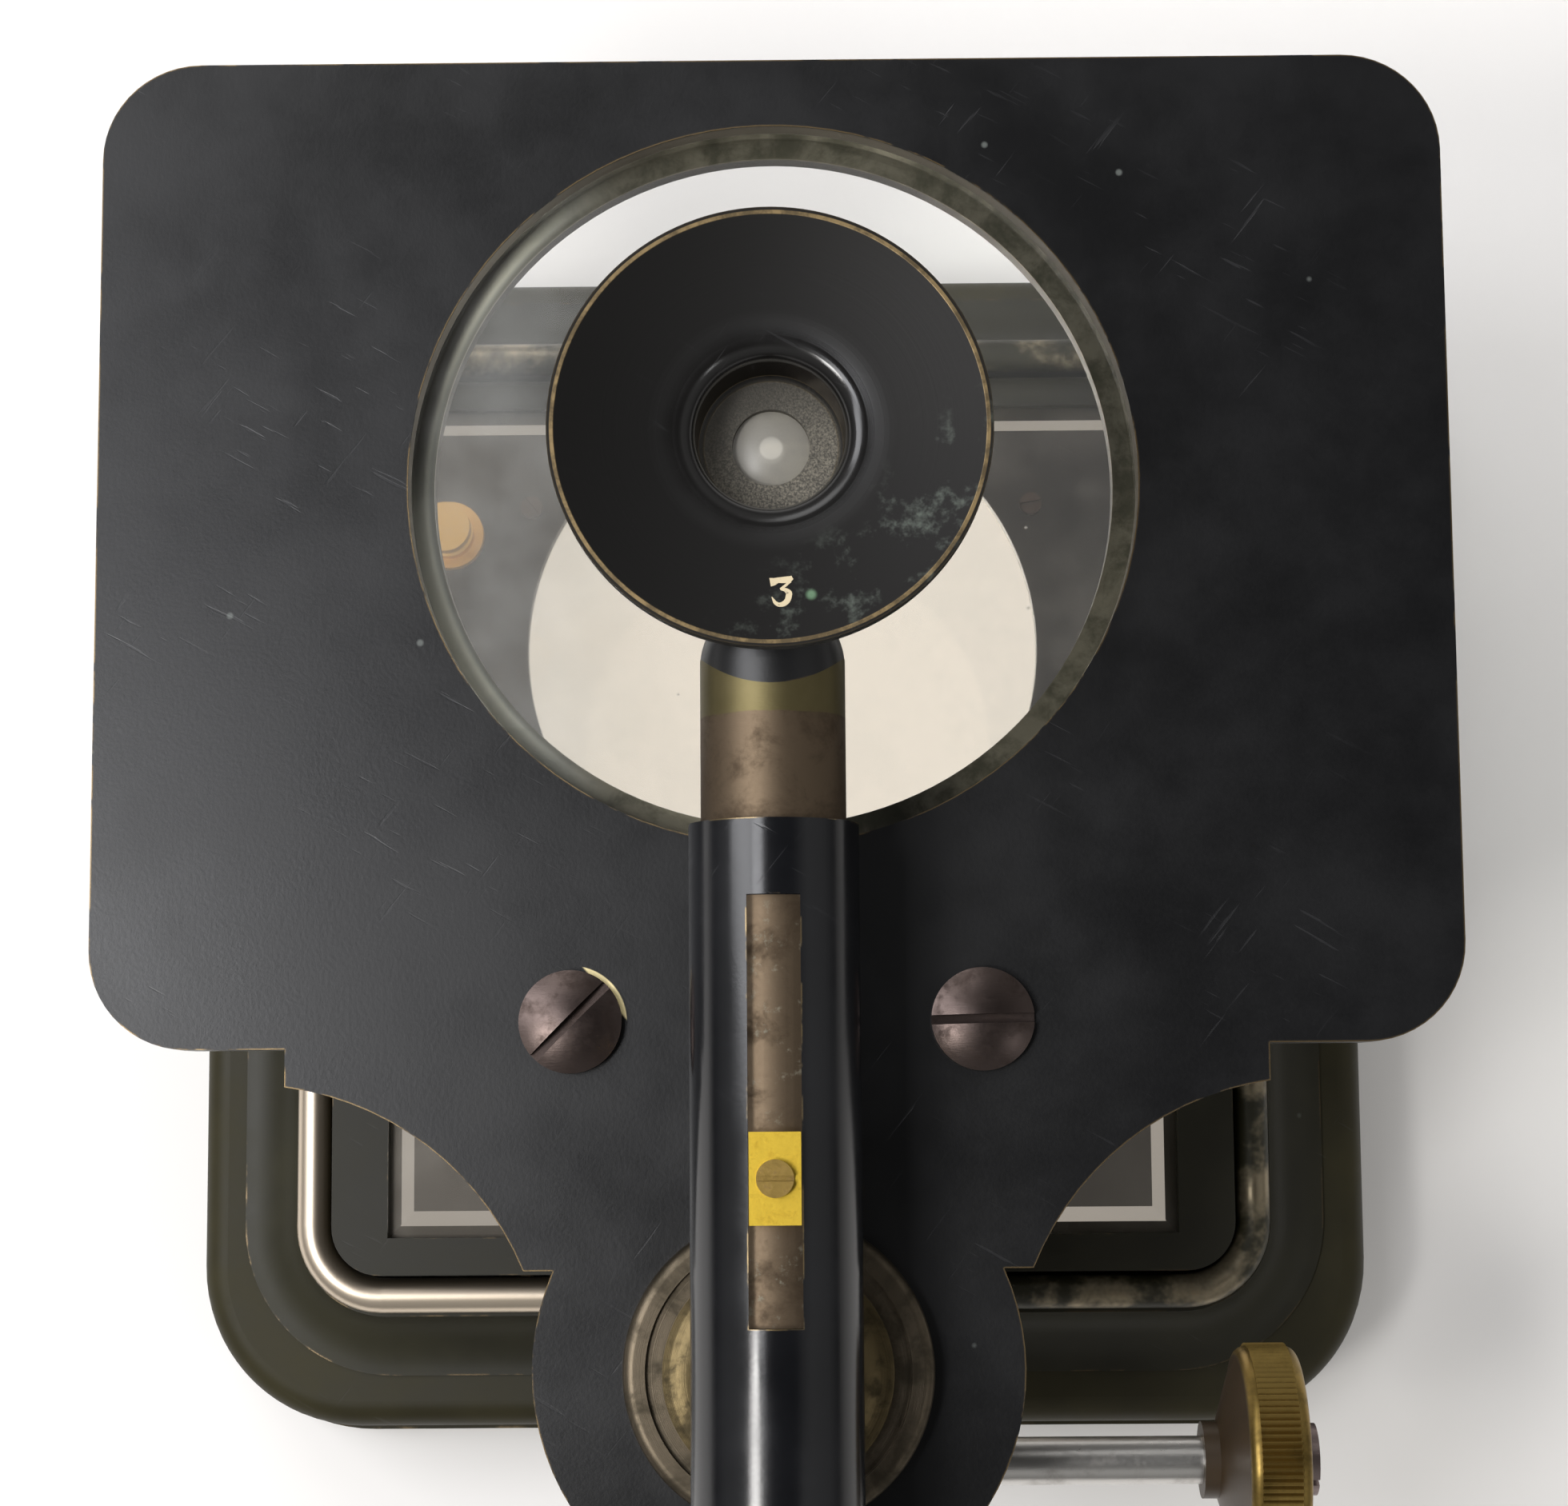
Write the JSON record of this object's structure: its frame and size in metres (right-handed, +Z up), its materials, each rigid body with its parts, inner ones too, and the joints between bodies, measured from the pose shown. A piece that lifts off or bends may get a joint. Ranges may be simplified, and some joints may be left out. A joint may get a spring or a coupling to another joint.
{
  "type": "simple microscope",
  "caption": "Simple dissecting microscope: dished doublet lens on a sliding, swivelling arm, rack focusing in a pillar, glass-centred stage and a tilting mirror in the base.",
  "frame": {"origin": "centre of the base's underside, on the surface the object stands on", "axes": "+X to the knob's side, +Y away from the pillar towards the stage's front edge, +Z up"},
  "size_m": [0.1164, 0.1259, 0.0985],
  "materials": {
    "base": "dark olive-black lacquer over brass",
    "base_weight": "cast lead, dull",
    "base_plate": "aged brass sheet",
    "plate_screws": "aged brass",
    "mirror_moulding": "olive-black lacquer worn to bronze on the ridge",
    "mirror_pivots": "aged brass",
    "pillar": "black lacquer",
    "pillar_flange": "brown patina, turned",
    "pillar_collar": "brown-bronze patina, turned",
    "stage_bracket": "black lacquer",
    "stage_plate": "satin black lacquer, edges worn to brass",
    "stage_screws": "dark purplish-brown polished steel",
    "glass_ring": "grey-bronze patina",
    "ring_screws": "aged brass",
    "stage_glass": "clear, slightly green",
    "stage_stud": "bright brass",
    "pinion_housing": "black lacquer",
    "housing_cover": "black lacquer",
    "cover_screws": "dark steel",
    "shaft_bushes": "aged brass",
    "focus_rod": "drawn brass, dull",
    "focus_rack": "cut brass",
    "rack_screws": "dark steel",
    "pinion_shaft": "bright steel",
    "pinion": "cut brass",
    "focus_knob": "aged brass, straight knurl",
    "knob_screw": "dark steel",
    "arm_boss": "brown patina, turned and shiny",
    "arm_tube": "glossy black lacquer",
    "arm_end_cap": "black lacquer",
    "draw_tube": "brown patina, bright near the tip",
    "guide_block": "bright yellow brass, filed",
    "guide_screw": "brass",
    "tube_nose": "black lacquer",
    "lens_ring": "black lacquer",
    "doublet_cup": "satin black lacquer, rim worn to brass, glossy recess",
    "doublet_barrel": "black lacquer",
    "upper_lens": "clear",
    "upper_cell": "blackened brass",
    "diaphragm": "blackened brass",
    "lower_lens": "clear",
    "lens_keeper": "aged brass",
    "mirror_frame": "dark olive-black lacquer",
    "mirror_glass": "old silvering, mottled, bevelled",
    "mirror_backing": "dark board",
    "mirror_button": "aged brass"
  },
  "bodies": {
    "stand": {"base": "base", "base_weight": "base_weight", "base_plate": "base_plate", "plate_screws": "plate_screws", "mirror_moulding": "mirror_moulding", "mirror_pivots": "mirror_pivots", "pillar": "pillar", "pillar_flange": "pillar_flange", "pillar_collar": "pillar_collar", "stage_bracket": "stage_bracket", "stage_plate": "stage_plate", "stage_screws": "stage_screws", "glass_ring": "glass_ring", "ring_screws": "ring_screws", "stage_glass": "stage_glass", "stage_stud": "stage_stud", "pinion_housing": "pinion_housing", "housing_cover": "housing_cover", "cover_screws": "cover_screws", "shaft_bushes": "shaft_bushes"},
    "focus_post": {"focus_rod": "focus_rod", "focus_rack": "focus_rack", "rack_screws": "rack_screws"},
    "focus_drive": {"pinion_shaft": "pinion_shaft", "pinion": "pinion", "focus_knob": "focus_knob", "knob_screw": "knob_screw"},
    "arm": {"arm_boss": "arm_boss", "arm_tube": "arm_tube", "arm_end_cap": "arm_end_cap"},
    "draw": {"draw_tube": "draw_tube", "guide_block": "guide_block", "guide_screw": "guide_screw", "tube_nose": "tube_nose", "lens_ring": "lens_ring"},
    "doublet": {"doublet_cup": "doublet_cup", "doublet_barrel": "doublet_barrel", "upper_lens": "upper_lens", "upper_cell": "upper_cell", "diaphragm": "diaphragm", "lower_lens": "lower_lens", "lens_keeper": "lens_keeper"},
    "mirror": {"mirror_frame": "mirror_frame", "mirror_glass": "mirror_glass", "mirror_backing": "mirror_backing", "mirror_button": "mirror_button"}
  },
  "joints": [
    {"name": "focus_slide", "type": "slide", "parent": "stand", "child": "focus_post", "axis": [0, 0, 1], "range_m": [0, 0.032]},
    {"name": "pinion_turn", "type": "hinge", "parent": "stand", "child": "focus_drive", "pos_m": [0, -0.05646, 0.058], "axis": [1, 0, 0], "range_deg": [0, 360]},
    {"name": "arm_swivel", "type": "hinge", "parent": "focus_post", "child": "arm", "pos_m": [0, -0.0473, 0.0816], "axis": [0, 0, 1], "range_deg": [-100, 100]},
    {"name": "draw_slide", "type": "slide", "parent": "arm", "child": "draw", "axis": [0, 1, 0], "range_m": [-0.0075, 0.0175]},
    {"name": "doublet_lift", "type": "slide", "parent": "draw", "child": "doublet", "axis": [0, 0, 1], "range_m": [0, 0.012]},
    {"name": "mirror_tilt", "type": "hinge", "parent": "stand", "child": "mirror", "pos_m": [0, 0.0411, 0.0256], "axis": [-1, 0, 0], "range_deg": [0, 25]}
  ],
  "couplings": [
    {"joint": "pinion_turn", "follows": "focus_slide", "rad_per_m": 192.31}
  ]
}
